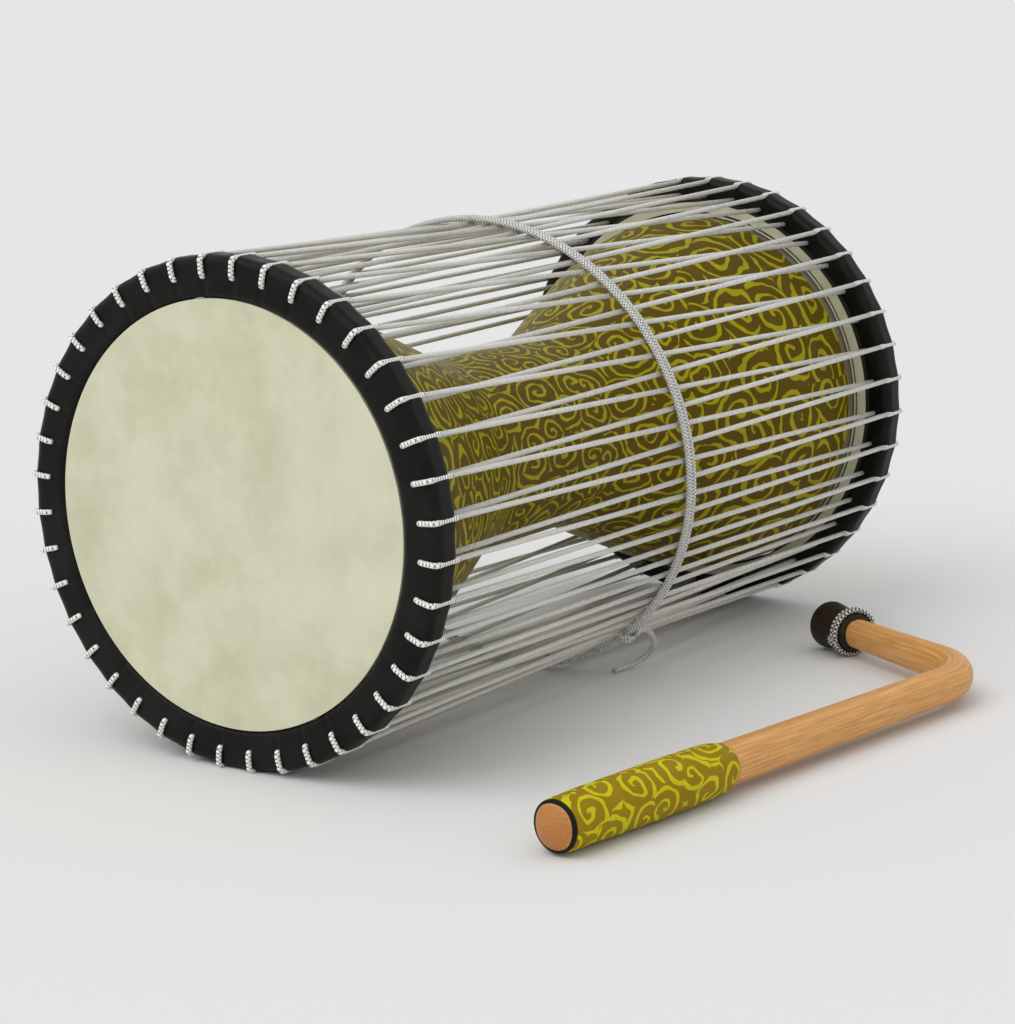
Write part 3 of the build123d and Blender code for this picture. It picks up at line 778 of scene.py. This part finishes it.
bpy.data.objects.remove(route_holder)

shape = bmesh.new()
sweep(shape, tail_points, [string_r] * len(tail_points), string_sides)
tail = finish_piece(shape, "string_tail", string_braid, "drum", ["drawstring_tail"])


# %% [markdown]
# The beater's stick is one piece of honey-coloured wood, turned to a slight taper and steam-bent, so
# its grain follows the bend. It is swept along its own line: straight shaft, bend, straight hook.
# Its section is a little squarer than a circle, as the butt end shows.

# %% Beater stick
beater_height = 12.5 * mm
heading = math.radians(83.2)
hook_turn = math.radians(70.0)
bend_r = 38.0 * mm
shaft_length = 306.4 * mm
hook_length = 122.0 * mm
bend_run = bend_r * math.tan(hook_turn / 2)
straight_shaft = shaft_length - bend_run
straight_hook = hook_length - bend_run
butt = Vector((186.9 * mm, -38.4 * mm, beater_height))
shaft_along = Vector((math.cos(heading), math.sin(heading), 0))
hook_along = Vector((math.cos(heading + hook_turn), math.sin(heading + hook_turn), 0))
bend_start = butt + shaft_along * straight_shaft
bend_centre = bend_start + Vector((0, 0, 1)).cross(shaft_along) * bend_r
hook_start = bend_start + (shaft_along + hook_along) * bend_run
stick_end_r = 10.2 * mm
stick_bend_r = 8.6 * mm
stick_tip_r = 7.0 * mm
end_dome = 4.0 * mm
cap_t = 1.4 * mm
padding_cover = 3.0 * mm
stick_tip = straight_hook - cap_t - padding_cover
squareness = 0.035
dome_shares = (0.01, 0.06, 0.16, 0.32, 0.55, 0.8, 1.0)
shaft_steps = 32
bend_steps = 20
hook_steps = 12
stick_sides = 40
grain_stretch = 0.055


def shaft_r(distance):
    return stick_end_r + (stick_bend_r - stick_end_r) * distance / straight_shaft


def squared(turn, distance):
    return 1 - squareness * 0.5 * (1 + math.cos(8 * math.pi * turn))


stick_line = []
stick_radii = []
dome_sphere = (shaft_r(end_dome) ** 2 + end_dome**2) / (2 * end_dome)
for share in dome_shares:
    distance = end_dome * share
    stick_line.append(butt + shaft_along * distance)
    stick_radii.append(math.sqrt(dome_sphere**2 - (dome_sphere - distance) ** 2))
for index in range(1, shaft_steps + 1):
    distance = end_dome + (straight_shaft - end_dome) * index / shaft_steps
    stick_line.append(butt + shaft_along * distance)
    stick_radii.append(shaft_r(distance))
for index in range(1, bend_steps + 1):
    turned = Matrix.Rotation(hook_turn * index / bend_steps, 4, "Z")
    stick_line.append(bend_centre + turned @ (bend_start - bend_centre))
    stick_radii.append(stick_bend_r)
for index in range(1, hook_steps + 1):
    distance = stick_tip * index / hook_steps
    stick_line.append(hook_start + hook_along * distance)
    stick_radii.append(stick_bend_r + (stick_tip_r - stick_bend_r) * index / hook_steps)

hardwood, wood_tree, wood_shader = new_material("oiled honey hardwood", 0.5)
section_place = add(wood_tree, "ShaderNodeUVMap", uv_map="section").outputs[0]
turn_place = add(wood_tree, "ShaderNodeUVMap", uv_map="turn").outputs[0]
section_parts = add(wood_tree, "ShaderNodeSeparateXYZ", {0: section_place})
along_mm = add(wood_tree, "ShaderNodeSeparateXYZ", {0: turn_place}).outputs[1]
grain_place = add(wood_tree, "ShaderNodeCombineXYZ", {
    0: section_parts.outputs[0],
    1: section_parts.outputs[1],
    2: math_node(wood_tree, "MULTIPLY", along_mm, grain_stretch),
}).outputs[0]
grain = add(wood_tree, "ShaderNodeTexNoise", {
    "Vector": grain_place, "Scale": 0.9, "Detail": 6.0, "Roughness": 0.6})
bands = add(wood_tree, "ShaderNodeTexWave", {
    "Vector": grain_place, "Scale": 0.16, "Distortion": 5.0, "Detail": 2.0})
flecks = add(wood_tree, "ShaderNodeTexNoise", {"Vector": grain_place, "Scale": 5.5, "Detail": 3.0})
grain_share = between(wood_tree, grain.outputs[0], 0.3, 0.7)
wood_tone = mix_colours(wood_tree, grain_share, linear("CB8F49"), linear("E4AE66"))
band_share = math_node(wood_tree, "MULTIPLY", bands.outputs[1], 0.3)
wood_band = mix_colours(wood_tree, band_share, wood_tone, linear("B97A3C"))
fleck_share = math_node(wood_tree, "MULTIPLY", between(wood_tree, flecks.outputs[0], 0.6, 0.75), 0.4)
wood_fleck = mix_colours(wood_tree, fleck_share, wood_band, linear("9C6530"))
end_share = math_node(wood_tree, "MULTIPLY", between(wood_tree, along_mm, 5.0, 2.5), 0.7)
wood_colour = mix_colours(wood_tree, end_share, wood_fleck, linear("A55F1C"))
wood_tree.links.new(wood_colour, wood_shader.inputs["Base Color"])
bump(wood_tree, wood_shader, flecks.outputs[0], 0.08 * mm, 0.3)

shape = bmesh.new()
sweep(shape, stick_line, stick_radii, stick_sides, squared)
finish_piece(shape, "stick", hardwood, "beater", ["beater_stick"])
print("stick swept through", len(stick_line), "rings")


# %% [markdown]
# The grip is a sleeve of the printed cloth, padded so that it swells in the middle and drawn in where
# it ends on the wood. A thin black edging closes it round the butt. Small lengthwise puckers gather
# towards both ends.

# %% Grip
trim_start = 4.0 * mm
trim_t = 1.6 * mm
trim_r = 11.2 * mm
grip_start = trim_start + trim_t
grip_length = 107.0 * mm
grip_start_r = 11.7 * mm
grip_middle_r = 12.2 * mm
grip_shoulder = 9.0 * mm
grip_shoulder_r = 11.7 * mm
grip_end_r = 10.1 * mm
grip_steps = 107
grip_sides = 72
grip_lip = (0.7 * mm, 0.15 * mm)
puckers = 13
pucker_depth = 0.030
butt_fade = 18
wood_fade = 9
sleeve_fit = 0.985
slack_depth = 0.018
slack_limit = 0.010
slack_waves = 3
slack_mm = 14
trim_sides = 48


def grip_r(share):
    shoulder_share = 1 - grip_shoulder / grip_length
    if share < 0.5:
        return grip_start_r + (grip_middle_r - grip_start_r) * math.sin(math.pi * share)
    if share < shoulder_share:
        run = (share - 0.5) / (shoulder_share - 0.5)
        return grip_middle_r + (grip_shoulder_r - grip_middle_r) * run**2
    run = (share - shoulder_share) / (1 - shoulder_share)
    return grip_shoulder_r + (grip_end_r - grip_shoulder_r) * run**1.5


def puckered(turn, distance):
    share = distance / grip_length
    gather = pucker_depth * (math.exp(-share * butt_fade) + math.exp(-(1 - share) * wood_fade))
    angle = 2 * math.pi * turn
    across = Vector((math.cos(angle), math.sin(angle))) * slack_waves
    slack = slack_depth * noise.noise(Vector((*across, distance / mm / slack_mm)))
    return sleeve_fit + gather * (math.cos(puckers * angle) - 1) * 0.5 + min(slack, slack_limit)


def grip_map(tree):
    uv = add(tree, "ShaderNodeUVMap", uv_map="turn")
    return add(tree, "ShaderNodeSeparateXYZ", {0: uv.outputs[0]}).outputs


def round_grip(tree):
    return math_node(tree, "MULTIPLY", grip_map(tree)[0], 2 * math.pi * grip_middle_r / mm)


def along_grip(tree):
    return grip_map(tree)[1]


grip_cloth = cloth("printed cotton on the grip", round_grip, along_grip,
                   grounds=("8C7207", "A0850E"), inks=("BDB408", "D6CE10"), roughness=0.6,
                   cell_mm=18.0, stroke_mm=6.0)
grip_line = [
    butt + shaft_along * (grip_start + grip_length * index / grip_steps) for index in range(grip_steps + 1)
]
grip_radii = [grip_r(index / grip_steps) for index in range(grip_steps + 1)]
for index, tuck in enumerate(grip_lip):
    grip_radii[index] -= tuck
shape = bmesh.new()
sweep(shape, grip_line, grip_radii, grip_sides, puckered)
grip = finish_piece(shape, "grip", grip_cloth, "beater", ["beater_grip"])

shape = bmesh.new()
trim_shares = (-0.15, 0.0, 0.2, 0.5, 0.8, 1.0, 1.15)
trim_cuts_mm = (1.1, 0.5, 0.1, 0.0, 0.05, 0.2, 0.6)
trim_line = [butt + shaft_along * (trim_start + trim_t * share) for share in trim_shares]
trim_radii = [trim_r - cut * mm for cut in trim_cuts_mm]
sweep(shape, trim_line, trim_radii, trim_sides)
finish_piece(shape, "grip_edging", black_cover, "beater", ["beater_grip_trim"])
print("grip made")


# %% [markdown]
# The beater's head is a pad under a dark leather cap. The cap is gathered into pleats at its neck,
# where a flecked braid is tied round it twice, and it swells to a barrel with a flat rounded end.

# %% Cap and tie
cap_length = 27.0 * mm
cap_r = 11.8 * mm
cap_neck_r = 10.2 * mm
cap_round = 4.0 * mm
cap_mouth = straight_hook - cap_length
tie_inset = 4.2 * mm
tie_d = 2.2 * mm
tie_clearance = 0.1 * mm
tie_r = cap_neck_r + tie_d / 2 + tie_clearance
tie_pitch = 2.65 * mm
tie_turns = 2.02
tie_knot_r = 0.95 * mm
tie_knot_rise = 0.9 * mm
tie_knot_angle = math.radians(-15.0)
pleats = 11
pleat_depth = 0.045
pleat_fade = 11 * mm
barrel_steps = 8
round_steps = 6
cap_sides = 66
cap_bulge = 0.1 * mm
cap_flat_share = 0.35

leather, leather_tree, leather_shader = new_material("dark brown leather", 0.48, Specular_IOR_Level=0.2)
leather_place = add(leather_tree, "ShaderNodeTexCoord").outputs["Object"]
leather_cloud = add(leather_tree, "ShaderNodeTexNoise", {
    "Vector": leather_place, "Scale": 90.0, "Detail": 5.0})
leather_pores = add(leather_tree, "ShaderNodeTexVoronoi", {"Vector": leather_place, "Scale": 700.0})
leather_colour = mix_colours(leather_tree, leather_cloud.outputs[0], linear("1A120B"), linear("32241A"))
leather_tree.links.new(leather_colour, leather_shader.inputs["Base Color"])
bump(leather_tree, leather_shader, leather_pores.outputs[0], 0.15 * mm, 0.6)


def pleated(turn, distance):
    fade = math.exp(-distance / pleat_fade)
    return 1 - pleat_depth * fade * (1 + math.cos(2 * math.pi * pleats * turn)) * 0.5


neck_length = 2 * tie_inset
shoulder = cap_length - cap_round
cap_profile = [(-0.4 * mm, 7.7 * mm), (0.2 * mm, 8.8 * mm), (1.0 * mm, 9.7 * mm), (2.2 * mm, cap_neck_r)]
for index in range(barrel_steps + 1):
    share = index / barrel_steps
    ease = share * share * (3 - 2 * share)
    swell = (cap_r - cap_neck_r) * ease
    cap_profile.append((neck_length + (shoulder - neck_length) * share, cap_neck_r + swell))
for index in range(1, round_steps + 1):
    turn = math.pi / 2 * index / round_steps
    end_r = cap_r - cap_round + cap_round * math.cos(turn)
    cap_profile.append((shoulder + cap_round * math.sin(turn), end_r))
cap_profile.append((cap_length + cap_bulge, cap_r * cap_flat_share))
cap_line = [hook_start + hook_along * (cap_mouth + distance) for distance, _ in cap_profile]
shape = bmesh.new()
sweep(shape, cap_line, [radius for _, radius in cap_profile], cap_sides, pleated)
cap = finish_piece(shape, "cap", leather, "beater", ["beater_cap", "beater_padding"])

upward = Vector((0, 0, 1))
tie_centre = hook_start + hook_along * (cap_mouth + tie_inset)
shape = bmesh.new()
line = wrap_line(tie_centre, hook_along, upward, tie_r, tie_r, tie_turns, tie_pitch)
sweep(shape, line, [tie_d / 2] * len(line), string_sides)
finish_piece(shape, "tie", flecked_braid, "beater", ["beater_tie"])

inner_side = upward.cross(hook_along)
tie_out = inner_side * math.cos(tie_knot_angle) + upward * math.sin(tie_knot_angle)
tie_round = hook_along.cross(tie_out)
knot_centre = tie_centre + tie_out * (tie_r + tie_knot_rise)
shape = bmesh.new()
line = wrap_line(knot_centre, tie_round, tie_out,
                 half_width=2.4 * mm, half_height=0.9 * mm, turns=1.8, pitch=1.9 * mm)
sweep(shape, line, [tie_knot_r] * len(line), string_sides)
finish_piece(shape, "tie_knot", flecked_braid, "beater", ["beater_tie_knot"])
print("cap and tie made")
